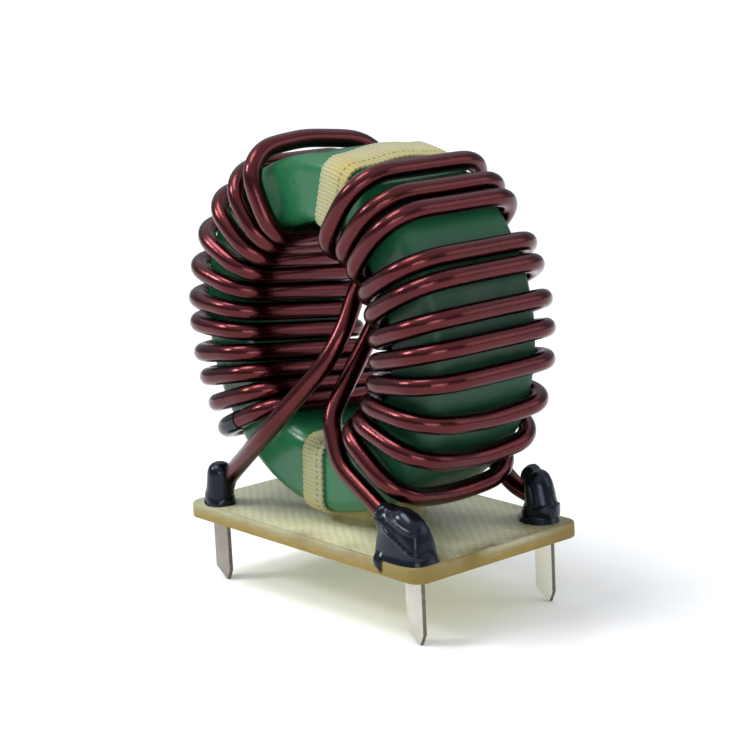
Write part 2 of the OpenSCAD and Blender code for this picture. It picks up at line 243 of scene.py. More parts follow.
def glass_epoxy_edge():
    # Sawn laminate edge: ochre resin between the glass plies, rough and darker in streaks
    material, tree, place = new_material("sawn_glass_epoxy_edge")
    flat = add(tree, "Mapping", {"Vector": place, "Scale": (1.0, 1.0, 7.0)})
    streak = add(tree, "TexNoise", {"Vector": flat, "Scale": per_mm(1.6), "Detail": 4})
    blot = add(tree, "TexNoise", {"Vector": place, "Scale": per_mm(7), "Detail": 3})
    axes = add(tree, "SeparateXYZ", {0: place}).outputs
    # Amber below, where the saw broke out, and paler above
    low = layered(tree, "#745C16", (streak, "#A4872E"))
    high = layered(tree, "#7C7C58", (streak, "#AAA884"))
    rise = add(tree, "MapRange", {"Value": axes["Z"], "From Min": 0.2 * MM, "From Max": BOARD_T * MM})
    # The worn upper rim shows white glass under a painted highlight, most of all along the right end
    white_rim_and_highlight = add(tree, "MapRange", {
        "Value": axes["Z"], "From Min": 0.95 * MM, "From Max": 1.45 * MM, "To Max": 0.45})
    end = add(tree, "MapRange", {
        "Value": axes["X"], "From Min": 15 * MM, "From Max": 18.4 * MM, "To Min": 0.35})
    worn = add(tree, "Math", {0: white_rim_and_highlight, 1: end}, operation="MULTIPLY")
    brown = stained_rim(tree, place, blot)
    tone = layered(tree, low, (rise, high), (worn, "#D4D2BC"), (brown, "#766320"))
    skin = add(tree, "Bump", {"Height": streak, "Strength": 0.5, "Distance": 0.08 * MM})
    return finished(material, {"Base Color": tone, "Normal": skin, "Roughness": 0.55})


def tinned_brass():
    # Dipped tin on a stamped blade: pale soft metal with runs along the blade and duller patches
    material, tree, place = new_material("hot_tinned_brass")
    along = add(tree, "Mapping", {"Vector": place, "Scale": (1.0, 1.0, 0.22)})
    run = add(tree, "TexNoise", {"Vector": along, "Scale": per_mm(0.5), "Detail": 4})
    patch = add(tree, "TexNoise", {"Vector": place, "Scale": per_mm(1.4), "Detail": 3})
    # Painted light and shade: the left pins are painted duller and darker than the right ones, and the back
    # row is painted near-white and less metallic to stand in for light
    axes = add(tree, "SeparateXYZ", {0: place}).outputs
    lit_share = add(tree, "MapRange", {"Value": axes["X"], "From Min": -14 * MM, "From Max": 10 * MM})
    back_painted_light = add(tree, "MapRange", {"Value": axes["Y"], "From Min": -5 * MM, "From Max": 5 * MM})
    shaded_tin = layered(tree, "#857F76", (patch, "#A5A097"))
    lit_tin = layered(tree, "#B4AFA5", (patch, "#DAD7CE"))
    metal = add(tree, "MapRange", {"Value": back_painted_light, "To Min": 0.8, "To Max": 0.25})
    dull = add(tree, "MapRange", {"Value": run, "To Min": 0.28, "To Max": 0.52})
    skin = add(tree, "Bump", {"Height": run, "Strength": 0.25, "Distance": 0.05 * MM})
    return finished(material, {
        "Base Color": layered(tree, shaded_tin, (lit_share, lit_tin), (back_painted_light, "#EFEDE4")),
        "Metallic": metal, "Roughness": dull, "Normal": skin})


def sheared_brass_edge():
    # The sheared side of a blade: thinly tinned, grey and scored across
    material, tree, place = new_material("sheared_tinned_edge")
    flat = add(tree, "Mapping", {"Vector": place, "Scale": (1.0, 0.3, 3.0)})
    score = add(tree, "TexNoise", {"Vector": flat, "Scale": per_mm(0.6), "Detail": 4})
    skin = add(tree, "Bump", {"Height": score, "Strength": 0.4, "Distance": 0.05 * MM})
    return finished(material, {
        "Base Color": layered(tree, "#4E4A43", (score, "#8A857B")), "Metallic": 0.8, "Roughness": 0.5,
        "Normal": skin})


def shrunk_polyolefin():
    # Heat-shrunk polyolefin: black, waxy gloss, drawn into fine creases
    material, tree, place = new_material("heat_shrunk_polyolefin")
    crease = add(tree, "TexNoise", {"Vector": place, "Scale": per_mm(1.4), "Detail": 3, "Distortion": 0.4})
    grain = add(tree, "TexNoise", {"Vector": place, "Scale": per_mm(0.25), "Detail": 2})
    dull = add(tree, "MapRange", {"Value": grain, "To Min": 0.12, "To Max": 0.26})
    skin = add(tree, "Bump", {"Height": crease, "Strength": 0.25, "Distance": 0.1 * MM})
    return finished(material, {
        "Base Color": layered(tree, "#07090C", (crease, "#101318")), "Roughness": dull, "Normal": skin,
        "IOR": 1.42, "Specular Tint": colour("#C8D8F4")})


def amber_glue():
    # Set adhesive: amber, cloudy and glossy, thinner and paler at its edge
    material, tree, place = new_material("set_amber_adhesive")
    cloud = add(tree, "TexNoise", {"Vector": place, "Scale": per_mm(1.8), "Detail": 4})
    skin = add(tree, "Bump", {"Height": cloud, "Strength": 0.3, "Distance": 0.15 * MM})
    return finished(material, {
        "Base Color": layered(tree, "#9A8E4E", (cloud, "#C4BA86")), "Roughness": 0.28, "Normal": skin,
        "Subsurface Weight": 0.25, "Subsurface Radius": (0.6 * MM, 0.4 * MM, 0.1 * MM),
        "Subsurface Scale": 1.0})


def set_solder():
    # Tin solder: bright grey metal, frosted where it froze
    material, tree, place = new_material("frozen_tin_solder")
    frost = add(tree, "TexNoise", {"Vector": place, "Scale": per_mm(0.4), "Detail": 4})
    dull = add(tree, "MapRange", {"Value": frost, "To Min": 0.2, "To Max": 0.5})
    return finished(material, {
        "Base Color": layered(tree, "#9A9A98", (frost, "#D4D4D0")), "Metallic": 1.0, "Roughness": dull})


def new_piece(name, points, faces, material, edges=()):
    """An object made of points in millimetres, linked to the scene."""
    mesh = bpy.data.meshes.new(name)
    mesh.from_pydata([Vector(p) * MM for p in points], edges, faces)
    if material:
        mesh.materials.append(material)
    piece = bpy.data.objects.new(name, mesh)
    bpy.context.scene.collection.objects.link(piece)
    return piece


def face_outwards(piece, crisp_angle=40):
    """Merge doubled points, turn all faces outwards and shade smooth apart from crisp edges."""
    shell = bmesh.new()
    shell.from_mesh(piece.data)
    bmesh.ops.remove_doubles(shell, verts=shell.verts, dist=0.0001 * MM)
    bmesh.ops.recalc_face_normals(shell, faces=shell.faces)
    shell.to_mesh(piece.data)
    shell.free()
    piece.data.shade_smooth()
    piece.data.set_sharp_from_angle(angle=math.radians(crisp_angle))


def settle(piece):
    """Turn what the modifiers give into the piece's own plain mesh."""
    graph = bpy.context.evaluated_depsgraph_get()
    made = bpy.data.meshes.new_from_object(piece.evaluated_get(graph))
    piece.modifiers.clear()
    piece.data = made


def hand_over(piece, slot, *nodes):
    """The piece stands for its CAD nodes on the one body."""
    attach(piece, "root")
    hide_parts(*nodes)


def lofted(rings, close_start=True, close_end=True):
    """Points and faces of a skin over rings of equal count; an end may be closed with a fan."""
    count = len(rings[0])
    points = [p for ring in rings for p in ring]
    faces = []
    for i in range(len(rings) - 1):
        for j in range(count):
            a, b = i * count + j, i * count + (j + 1) % count
            faces.append((a, b, b + count, a + count))
    for closed, ring, first in ((close_start, rings[0], 0), (close_end, rings[-1], len(points) - count)):
        if closed:
            points.append(sum((Vector(p) for p in ring), Vector()) / count)
            middle = len(points) - 1
            faces += [(first + j, first + (j + 1) % count, middle) for j in range(count)]
    return points, faces


# Circles and planes that the wire's centre line follows
RIM_R = CORE_R + LAY_GAP + WIRE_R
BORE_R = BORE_WALL - LAY_GAP - WIRE_R
FACE_Y = CORE_H / 2 + LAY_GAP + WIRE_R
BEND_R = CORE_EDGE + LAY_GAP + WIRE_R
OVER_TAPE = TAPE_T + LAY_GAP / 2
TURN_STEP = math.degrees((WIRE_D + TURN_GAP) / BORE_R)

# Hand-laid turns: angle at the rim, sag of the lower turns and slack at the outer bends
RIGHT_START = 65.5
RIGHT_RIM = (58.5, 49, 42.5, 28, 21.5, 11, 2.5, -7, -19, -31, -46)
RIGHT_SAG = (0,) * 8 + (2.5, 4.5, 7)
RIGHT_FRONT = (0.8,) * 8 + (0.7, 0.6, 0.4)
RIGHT_BACK = (0.6,) + (0.5,) * 4 + (0.4,) * 4 + (0.5, 0.7)
LEFT_START = 69
LEFT_RIM = (70, 56, 43, 29.5, 17, 6, -2, -12, -20, -29, -38)
LEFT_SAG = (0,) * 11
LEFT_FRONT = (1.4, 0.9, 0.8, 0.7) + (0.6,) * 7
LEFT_BACK = (0.9,) + (0.5,) * 10
LOOSE_LOOP = 0.3
# The loose loop arches: its ends lie lower than its crown, which lies towards the front
LOOP_DROP_BACK, LOOP_DROP_FRONT, LOOP_RISE, LOOP_CROWN_Y = 0.8, 0.45, 0.75, -1.2
BOW_R = 16
SLACK_LIFT, SAG_BACK, SAG_LIFT = 0.4, 0.3, 0.06
# The stiff wire arches off the faces: a bend with more slack is wider
SLACK_WIDEN = 1.25
TUCK_OUT, TUCK_IN = 0.35, 0.1
TUCK_BEND = BEND_R + SLACK_WIDEN * (TUCK_OUT + TUCK_IN)
BEND_SHARE = 0.49
BEND_STEPS = 12
RUN_STEP = 0.5
EASE_PASSES = 5
# Blender seeds its vector noise by the clock, so a fixed seed keeps the wire the same on each run
WAVER, WAVER_LENGTH, WAVER_SEED = 0.05, 7.0, 3
noise.seed_set(WAVER_SEED)
# Wall of the sleeve on the lowest left turn, and how many points of the route it goes past the front bend
TURN_SLEEVE, TURN_SLEEVE_PAST = 0.09, 10

# Where the ring is flattened, in degrees about its axis, how far that reaches, how deep it goes at the rim
# and the share of it that the wire outside the rim takes at most
FLAT_ANGLE, FLAT_REACH, FLAT_DEPTH, FLAT_MOST = 106, 70, 0.6, 1.15

# The wire's foot at each joint, over the inner edge of the pin's stub
JOINT_IN, JOINT_SIDE = 0.9, 0.25
WIRE_FOOT = BOARD_T + TAB_RISE + SLOT_FIT
KNEE, KNEE_R = WIRE_FOOT + 1.4, 1.0


def flattened(place):
    """The same point on the ring as it is seen: its upper left is a little flatter than a circle."""
    x, z = place.x, place.z - CORE_Z
    radius, angle = math.hypot(x, z), math.degrees(math.atan2(z, x))
    apart = abs((angle - FLAT_ANGLE + 180) % 360 - 180)
    if apart >= FLAT_REACH:
        return place
    share = min(max((radius - BORE_WALL) / (CORE_R - BORE_WALL), 0), FLAT_MOST)
    keep = 1 - FLAT_DEPTH * share * math.cos(math.pi / 2 * apart / FLAT_REACH) ** 2 / radius
    return Vector((x * keep, place.y, CORE_Z + z * keep))


def spot(side, radius, angle, y):
    """A point by radius and angle about the ring's axis; side is 1 for the right coil."""
    a = math.radians(angle)
    return Vector((side * radius * math.cos(a), CORE_SHIFT + y, CORE_Z + radius * math.sin(a)))


def in_bore(x, y, z):
    """A point in the bore as shares of the bore radius and the face distance."""
    return Vector((x * BORE_R, CORE_SHIFT + y * FACE_Y, CORE_Z + z * BORE_R))


def joint(side_x, side_y, z):
    """Foot of a wire at its pin, at a given height."""
    return Vector((side_x * (PIN_X - JOINT_IN), side_y * PIN_Y - JOINT_SIDE, z))


def slack_bend(slack, loop):
    """Bend radius of a corner that stands off the ring by this slack."""
    return BEND_R + SLACK_WIDEN * ((1 + SLACK_LIFT) * slack + loop)


def coil(side, start, rim, sag, front, back, first_lift, loop):
    """Corners of one coil, each with its bend radius."""
    corners = []
    for k, angle in enumerate(rim):
        inner = start - TURN_STEP * k
        lift = 0 if k else first_lift
        loose = 0 if k else loop
        back_r = RIM_R + SLACK_LIFT * back[k] + (loose - LOOP_DROP_BACK if loose else 0)
        front_r = RIM_R + SLACK_LIFT * front[k] + (loose - LOOP_DROP_FRONT if loose else 0)
        inner_r = BORE_R - TUCK_IN
        corners.append((spot(side, back_r, angle - SAG_BACK * sag[k], FACE_Y + back[k]),
                        slack_bend(back[k], loose)))
        if loose:
            corners.append((spot(side, RIM_R + loose + LOOP_RISE, angle, LOOP_CROWN_Y), BOW_R))
        elif sag[k]:
            corners.append((spot(side, RIM_R + SAG_LIFT * sag[k], angle - sag[k], 0), BOW_R))
        corners.append((spot(side, front_r, angle, -FACE_Y - front[k]), slack_bend(front[k], loose)))
        corners.append((spot(side, inner_r - lift, inner, -FACE_Y - TUCK_OUT - lift), TUCK_BEND))
        corners.append((spot(side, inner_r, inner - TURN_STEP, FACE_Y + TUCK_OUT), TUCK_BEND))
    return corners


def rounded(corners):
    """Dense points of a route: an arc at each corner, and straight runs that waver a little."""
    line = [corners[0][0]]
    for (before, _), (corner, wanted), (after, _) in zip(corners, corners[1:], corners[2:]):
        u, v = (before - corner).normalized(), (after - corner).normalized()
        half = u.angle(v) / 2
        room = BEND_SHARE * min((before - corner).length, (after - corner).length)
        reach = min(wanted / math.tan(half), room)
        radius = reach * math.tan(half)
        middle = corner + (u + v).normalized() * radius / math.sin(half)
        first = corner + u * reach - middle
        axis = first.cross(corner + v * reach - middle).normalized()
        for i in range(BEND_STEPS + 1):
            line.append(middle + Matrix.Rotation((math.pi - 2 * half) * i / BEND_STEPS, 3, axis) @ first)
    line.append(corners[-1][0])
    dense = [line[0]]
    for point in line[1:]:
        start = dense[-1]
        pieces = max(1, round((point - start).length / RUN_STEP))
        dense += [start.lerp(point, (j + 1) / pieces) for j in range(pieces)]
    # Ease the joints between arcs and straight runs, as a springy wire does
    for _ in range(EASE_PASSES):
        dense[1:-1] = [0.25 * a + 0.5 * b + 0.25 * c for a, b, c in zip(dense, dense[1:], dense[2:])]
    return [flattened(p) + WAVER * noise.noise_vector(p / WAVER_LENGTH) for p in dense]


# The leads between the pins and the coils: corners, each with its bend radius
LEAD_FRONT_LEFT = [
    (joint(-1, -1, WIRE_FOOT) + Vector((-0.8, 0.6, -0.3)), 0),
    (joint(-1, -1, KNEE) + Vector((0.3, 0.6, 0.5)), 3),
    (in_bore(-0.37, -1, -0.96) - Vector((0, WIRE_D + 0.3, 0)), 14),
    (in_bore(0.3, -0.78, -0.14), 9),
    (in_bore(0.17, -0.2, 0.52), 8),
    (spot(1, BORE_R - 0.6, RIGHT_START + 6, 0.63 * FACE_Y), 3),
    (spot(1, BORE_R - OVER_TAPE, RIGHT_START, FACE_Y + OVER_TAPE), BEND_R)]
LEAD_FRONT_RIGHT = [
    (joint(1, -1, WIRE_FOOT), 0),
    (joint(1, -1, KNEE), KNEE_R),
    (spot(1, BORE_R + 3.2, -67.5, -FACE_Y - 0.4), 6),
    (in_bore(0.26, -0.92, -0.8), 5),
    (in_bore(0.17, 0, 0.02), 9),
    (in_bore(-0.16, 0.77, 0.76), 3),
    (spot(-1, BORE_R, LEFT_START, FACE_Y), BEND_R)]
LEAD_BACK_RIGHT, LEAD_BACK_LEFT = ([
    (spot(side, RIM_R + 1, -55, FACE_Y + 0.9), 5),
    (joint(side, 1, KNEE), KNEE_R),
    (joint(side, 1, WIRE_FOOT), 0)] for side in (1, -1))
RIGHT_COIL = coil(1, RIGHT_START, RIGHT_RIM, RIGHT_SAG, RIGHT_FRONT, RIGHT_BACK, OVER_TAPE, 0)
LEFT_COIL = coil(-1, LEFT_START, LEFT_RIM, LEFT_SAG, LEFT_FRONT, LEFT_BACK, 0, LOOSE_LOOP)


def open_tree(name, inputs, output):
    """An empty Geometry Nodes tree with named inputs and one output, and what its inputs give."""
    tree = bpy.data.node_groups.new(name, "GeometryNodeTree")
    for label, kind in inputs:
        tree.interface.new_socket(label, in_out="INPUT", socket_type="NodeSocket" + kind)
    tree.interface.new_socket(output, in_out="OUTPUT", socket_type="NodeSocketGeometry")
    return tree, add(tree, "NodeGroupInput").outputs


def close_tree(tree, shape, finish):
    """Make the shape real, give it its material and end the tree."""
    real = add(tree, "GeometryNodeRealizeInstances", {0: shape})
    painted = add(tree, "GeometryNodeSetMaterial", {"Geometry": real, "Material": finish})
    add(tree, "NodeGroupOutput", {0: painted})
    return tree


def round_wire_tree():
    """Geometry nodes that draw a round wire along a route."""
    tree, given = open_tree("round_wire_on_a_route", (
        ("Route", "Geometry"), ("Wire diameter", "Float"), ("Facets round", "Int"),
        ("Enamel", "Material")), "Wire")
    half = add(tree, "Math", {0: given["Wire diameter"], 1: 0.5}, operation="MULTIPLY")
    route = add(tree, "GeometryNodeMeshToCurve", {0: given["Route"]})
    circle = add(tree, "GeometryNodeCurvePrimitiveCircle", {
        "Resolution": given["Facets round"], "Radius": half})
    wire = add(tree, "GeometryNodeCurveToMesh", {"Curve": route, "Profile Curve": circle, "Fill Caps": True})
    smooth = add(tree, "GeometryNodeSetShadeSmooth", {"Geometry": wire})
    return close_tree(tree, smooth, given["Enamel"])


def fill_inputs(piece, tree, **values):
    """A Geometry Nodes modifier with its named inputs set by socket identifier."""
    modifier = piece.modifiers.new(tree.name, "NODES")
    modifier.node_group = tree
    for item in tree.interface.items_tree:
        key = item.name.replace(" ", "_").lower()
        if item.in_out == "INPUT" and key in values:
            modifier[item.identifier] = values[key]


def build_windings(enamel, sleeve):
    tree = round_wire_tree()
    lines = {
        "winding_right": rounded(LEAD_FRONT_LEFT + RIGHT_COIL + LEAD_BACK_RIGHT),
        "winding_left": rounded(LEAD_FRONT_RIGHT + LEFT_COIL + LEAD_BACK_LEFT)}

    def drawn(name, line, diameter, skin):
        piece = new_piece(name, line, [], None, [(i, i + 1) for i in range(len(line) - 1)])
        fill_inputs(piece, tree, wire_diameter=diameter * MM, facets_round=22, enamel=skin)
        settle(piece)
        return piece

    for node, line in lines.items():
        hand_over(drawn("enamelled_" + node, line, WIRE_D, enamel), "wire_enamel", node)
    # A thin sleeve covers the outer run of the lowest left turn, from its back bend to its front bend
    line = lines["winding_left"]
    behind, ahead = LEFT_COIL[-4][0], LEFT_COIL[-3][0]
    first, last = (min(range(len(line)), key=lambda i: (line[i] - end).length) for end in (behind, ahead))
    piece = drawn("sleeve_on_lowest_left_turn", line[first:last + TURN_SLEEVE_PAST],
                  WIRE_D + 2 * TURN_SLEEVE, sleeve)
    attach(piece, "root")


def ring_section(skin, step):
    """Outline of the ring's section grown by a skin: radius, distance along the axis, and the way out."""
    edge = CORE_EDGE + skin
    inner, outer, tall = BORE_WALL - skin, CORE_R + skin, CORE_H / 2 + skin
    corners = ((outer - edge, tall - edge, 0), (inner + edge, tall - edge, 90),
               (inner + edge, edge - tall, 180), (outer - edge, edge - tall, 270))
    outline = []
    bends = max(4, round(edge * math.pi / 2 / step))
    for k, (r, y, turn) in enumerate(corners):
        for i in range(bends + 1):
            a = math.radians(turn + 90 * i / bends)
            outline.append((r + edge * math.cos(a), y + edge * math.sin(a), math.cos(a), math.sin(a)))
        r2, y2, turn2 = corners[(k + 1) % 4]
        a = math.radians(turn2)
        start, end = outline[-1], (r2 + edge * math.cos(a), y2 + edge * math.sin(a))
        pieces = max(1, round(math.dist(start[:2], end) / step))
        for i in range(1, pieces):
            t = i / pieces
            outline.append((start[0] + (end[0] - start[0]) * t, start[1] + (end[1] - start[1]) * t,
                            math.cos(a), math.sin(a)))
    return outline


def build_core(coat):
    swell, swell_length, segments, section_step = 0.035, 5.0, 240, 0.7
    rings = []
    for j in range(segments):
        a = 2 * math.pi * j / segments
        way = Vector((math.cos(a), 0, math.sin(a)))
        ring = []
        for r, y, out_r, out_y in ring_section(0, section_step):
            place = Vector((0, CORE_SHIFT + y, CORE_Z)) + way * r
            lift = swell * noise.noise(place / swell_length)
            ring.append(flattened(place + lift * (way * out_r + Vector((0, out_y, 0)))))
        rings.append(ring)
    points, faces = lofted(rings + [rings[0]], False, False)
    piece = new_piece("coated_ring_core", points, faces, coat)
    face_outwards(piece)
    hand_over(piece, "core_coating", "toroid_core")


def thread_tree():
    """Geometry nodes that raise weft ribs and warp threads on a tape."""
    tree, given = open_tree("woven_ribs_on_a_tape", (
        ("Tape", "Geometry"), ("Rib spacing", "Float"), ("Rib height", "Float"), ("Warp spacing", "Float"),
        ("Cloth", "Material")), "Woven tape")
    rib_share, warp_share = 0.55, 0.45
    waves = []
    for name, spacing in (("along", "Rib spacing"), ("across", "Warp spacing")):
        place = add(tree, "GeometryNodeInputNamedAttribute", {"Name": name}, data_type="FLOAT")
        share = add(tree, "Math", {0: place, 1: given[spacing]}, operation="DIVIDE")
        turn = add(tree, "Math", {0: share, 1: 2 * math.pi}, operation="MULTIPLY")
        waves.append(add(tree, "Math", {0: turn}, operation="COSINE"))
    over = add(tree, "Math", {0: waves[0], 1: waves[1]}, operation="MULTIPLY")
    woven = add(tree, "Math", {0: over, 1: warp_share}, operation="MULTIPLY")
    ribbed = add(tree, "Math", {0: waves[0], 1: rib_share, 2: woven}, operation="MULTIPLY_ADD")
    # The ribs fade out at the edges, and the underside has none
    free = add(tree, "GeometryNodeInputNamedAttribute", {"Name": "free"}, data_type="FLOAT")
    shown = add(tree, "Math", {0: ribbed, 1: free}, operation="MULTIPLY")
    lift = add(tree, "Math", {0: shown, 1: given["Rib height"]}, operation="MULTIPLY")
    normal = add(tree, "GeometryNodeInputNormal")
    offset = add(tree, "VectorMath", {0: normal, "Scale": lift}, operation="SCALE")
    moved = add(tree, "GeometryNodeSetPosition", {"Geometry": given["Tape"], "Offset": offset})
    # Painted shade: the lower a point lies between the ribs, the darker the cloth is painted there
    painted_shade = add(tree, "MapRange", {"Value": shown, "From Min": 0.3, "From Max": -0.9})
    kept = add(tree, "GeometryNodeStoreNamedAttribute", {
        "Geometry": moved, "Name": "thread_depth", "Value": painted_shade}, data_type="FLOAT", domain="POINT")
    return close_tree(tree, kept, given["Cloth"])


def build_tapes(cloth):
    tree = thread_tree()
    rib, rib_height, warp = 0.42, 0.035, 0.62
    notch, notch_depth, columns, edge_fade = 0.62, 0.13, 30, 12
    hole_half, hole_wave, straight_out = 0.17, 0.1, 0.99
    rim_half = CORE_H / 2 - CORE_EDGE
    section_step = 0.07
    section = ring_section(TAPE_T - rib_height, section_step)
    under = TAPE_T - rib_height - TOUCH
    total = sum(math.dist(p[:2], q[:2]) for p, q in zip(section, section[1:] + section[:1]))
    ribs = round(total / rib)
    # The upper band is not pulled tight: it stands off the rim in a low arch. It spreads towards the right
    # coil, and on the rim towards the left one too. A row of holes runs along the right of each band.
    for node, angle, bulge, spread, rim_spread, hole_row in (
            ("tape_top", TAPE_TOP_ANGLE, 0.5, 0.8, 0.75, -1.3),
            ("tape_bottom", TAPE_BOTTOM_ANGLE, 0, 0, 0, 0.75)):
        a = math.radians(angle)
        way, across = Vector((math.cos(a), 0, math.sin(a))), Vector((-math.sin(a), 0, math.cos(a)))
        rings, values = [], {"along": [], "across": [], "free": [], "hole": []}
        along, last = 0.0, section[-1]
        for outer in section:
            r, y, out_r, out_y = outer
            along += math.dist(last[:2], outer[:2])
            last = outer
            wave = math.cos(2 * math.pi * along / notch)
            half = TAPE_W / 2 - notch_depth * (0.5 + 0.5 * wave)
            on_rim = out_r > straight_out and abs(y) < rim_half
            arch = bulge * math.cos(math.pi / 2 * y / rim_half) ** 2 if on_rim else 0
            back_share = min(max(y / CORE_H + 0.5, 0), 1)
            rim_share = min(max((r - BORE_WALL) / (CORE_R - BORE_WALL), 0), 1)
            rim_share *= back_share * (2 - back_share)
            ring = []
            for layer, radius, axial in ((1, r, y), (0, r - under * out_r, y - under * out_y)):
                for c in range(columns + 1):
                    w = half * (2 * c / columns - 1) * (1 if layer else -1)
                    w += spread * min(0, w / half) + rim_spread * rim_share * max(0, w / half)
                    reach = math.sqrt((radius + arch) ** 2 - w * w)
                    ring.append(flattened(Vector((0, CORE_SHIFT + axial, CORE_Z)) + way * reach + across * w))
                    values["along"].append(along * ribs / (total / rib) * MM)
                    values["across"].append(w * MM)
                    rim = min(c, columns - c) / columns * 2
                    values["free"].append(layer * min(1, rim * edge_fade))
                    beside = max(0, 1 - abs(w - hole_row) / hole_half)
                    values["hole"].append(layer * min(1, 2 * beside) * (wave > hole_wave))
            rings.append(ring)
        points, faces = lofted(rings + [rings[0]], False, False)
        # The last ring closes the band, so it shares the first ring's points
        whole = len(rings) * len(rings[0])
        piece = new_piece("woven_" + node, points[:whole], [tuple(i % whole for i in f) for f in faces], None)
        # Glue soaked into the upper band's front edge, and into the lower band at the board
        face_y = CORE_SHIFT - CORE_H / 2
        behind, aside, above, upper_reach, lower_reach = 0.5, -0.9, 0.5, 1.3, 1.6
        soaks = ((Vector((0, face_y + behind, CORE_Z)) + way * CORE_R + across * aside, upper_reach),
                 (Vector((0, face_y, BOARD_T + above)), lower_reach))
        values["stain"] = [
            max(math.exp(-((Vector(p) - middle).length / reach) ** 2) for middle, reach in soaks)
            for p in points[:whole]]
        for name, numbers in values.items():
            piece.data.attributes.new(name, "FLOAT", "POINT").data.foreach_set("value", numbers)
        face_outwards(piece, crisp_angle=180)
        fill_inputs(piece, tree, rib_spacing=rib * MM, rib_height=rib_height * MM, warp_spacing=warp * MM,
                    cloth=cloth)
        settle(piece)
        hand_over(piece, "cloth_tape", node)


def build_board(face_finish, edge_finish):
    worn, broken, rim_steps, corner_steps = 0.3, 0.1, 4, 8
    # The saw left a slightly uneven outline
    saw_step, saw_spot, saw_bite = 0.5, 0.9, 0.02
    shell = bmesh.new()

    def outline(shrink):
        loop = []
        bend = BOARD_CORNER - shrink
        for sx, sy, turn in ((1, 1, 0), (-1, 1, 90), (-1, -1, 180), (1, -1, 270)):
            cx, cy = sx * (BOARD_X / 2 - BOARD_CORNER), sy * (BOARD_Y / 2 - BOARD_CORNER)
            for i in range(corner_steps + 1):
                a = math.radians(turn + 90 * i / corner_steps)
                loop.append(Vector((cx + bend * math.cos(a), cy + bend * math.sin(a))))
        dense = []
        for p, q in zip(loop, loop[1:] + loop[:1]):
            pieces = max(1, round((q - p).length / saw_step))
            dense += [p.lerp(q, i / pieces) for i in range(pieces)]
        return [p * (1 - saw_bite * abs(noise.noise(Vector((p.x, p.y, 0)) / saw_spot)) / (BOARD_Y / 2))
                for p in dense]

    slots = []
    for sx in (-1, 1):
        for sy in (-1, 1):
            hx, hy = (TAB_W + SLOT_FIT) / 2, (PIN_T + SLOT_FIT) / 2
            slots.append([Vector((sx * PIN_X + i * hx, sy * PIN_Y + j * hy))
                          for i, j in ((-1, -1), (1, -1), (1, 1), (-1, 1))])

    def level(loop, z):
        return [shell.verts.new(Vector((p.x, p.y, z)) * MM) for p in loop]

    def wall(one, two, finish):
        for i in range(len(one)):
            j = (i + 1) % len(one)
            shell.faces.new((one[i], one[j], two[j], two[i])).material_index = finish

    # The upper rim is worn round, the lower one is only broken
    rims = []
    for i in range(rim_steps + 1):
        a = math.radians(90 - 90 * i / rim_steps)
        rims.append(level(outline(worn * (1 - math.cos(a))), BOARD_T - worn * (1 - math.sin(a))))
    rims += [level(outline(0), broken), level(outline(broken), 0)]
    for upper, lower in zip(rims, rims[1:]):
        wall(upper, lower, 1)
    holes = [(level(s, BOARD_T), level(s, 0)) for s in slots]
    for top, bottom in holes:
        wall(top, bottom, 1)
    for k, rim in ((0, rims[0]), (1, rims[-1])):
        edges = []
        for loop in [rim] + [h[k] for h in holes]:
            edges += [shell.edges.get((loop[i], loop[(i + 1) % len(loop)])) for i in range(len(loop))]
        bmesh.ops.triangle_fill(shell, use_beauty=True, edges=edges)
    bmesh.ops.recalc_face_normals(shell, faces=shell.faces)
    piece = new_piece("laminate_base_board", [], [], face_finish)
    piece.data.materials.append(edge_finish)
    shell.to_mesh(piece.data)
    shell.free()
    piece.data.shade_smooth()
    piece.data.set_sharp_from_angle(angle=math.radians(30))
    hand_over(piece, "glass_epoxy", "base_board")


def build_pins(tin, sheared):
    point_side, point_skew = 0.29 * PIN_W, 0.1
    blade = [(-PIN_W / 2, 0), (-PIN_W / 2, point_skew - PIN_DROP + PIN_POINT), (point_side, -PIN_DROP),
             (PIN_W / 2, PIN_POINT - PIN_DROP), (PIN_W / 2, 0), (TAB_W / 2, 0),
             (TAB_W / 2, BOARD_T + TAB_RISE), (-TAB_W / 2, BOARD_T + TAB_RISE), (-TAB_W / 2, 0)]
    count = len(blade)
    for node, sx, sy in (("pin_front_left", -1, -1), ("pin_front_right", 1, -1),
                         ("pin_back_right", 1, 1), ("pin_back_left", -1, 1)):
        points = [(sx * PIN_X + x, sy * PIN_Y + side * PIN_T / 2, z) for side in (-1, 1) for x, z in blade]
        faces = [tuple(range(count)), tuple(range(2 * count - 1, count - 1, -1))]
        faces += [(i, (i + 1) % count, (i + 1) % count + count, i + count) for i in range(count)]
        piece = new_piece("tinned_" + node, points, faces, tin)
        piece.data.materials.append(sheared)
        for face in piece.data.polygons[2:]:
            face.material_index = 1
        face_outwards(piece)
        edge = piece.modifiers.new("rolled_edges", "BEVEL")
        edge.width = 0.08 * MM
        edge.segments = 3
        settle(piece)
        piece.data.shade_smooth()
        piece.data.set_sharp_from_angle(angle=math.radians(50))
        hand_over(piece, "tinned_pin", node)


def swept_rings(stations, count, crease, crease_length):
    """Rings round a bent spine; each station is a centre, two half-widths and how creased it is."""
    rings = []
    turned_back = -0.2
    side = Vector((0, 1, 0))
    centres = [Vector(s[0]) for s in stations]
    for k, (_, wide, deep, creased) in enumerate(stations):
        way = (centres[min(k + 1, len(centres) - 1)] - centres[max(k - 1, 0)]).normalized()
        # Where a sleeve's lip turns in on itself, its ring keeps the way of the one before
        if k and way.dot(before) < turned_back:
            way = before
        before = way
        side = (side - way * side.dot(way)).normalized()
        other = way.cross(side)
        ring = []
        for j in range(count):
            a = 2 * math.pi * j / count
            out = side * deep * math.cos(a) + other * wide * math.sin(a)
            place = centres[k] + out
            ring.append(place + out.normalized() * crease * creased * noise.noise(place / crease_length))
        rings.append(ring)
    return rings


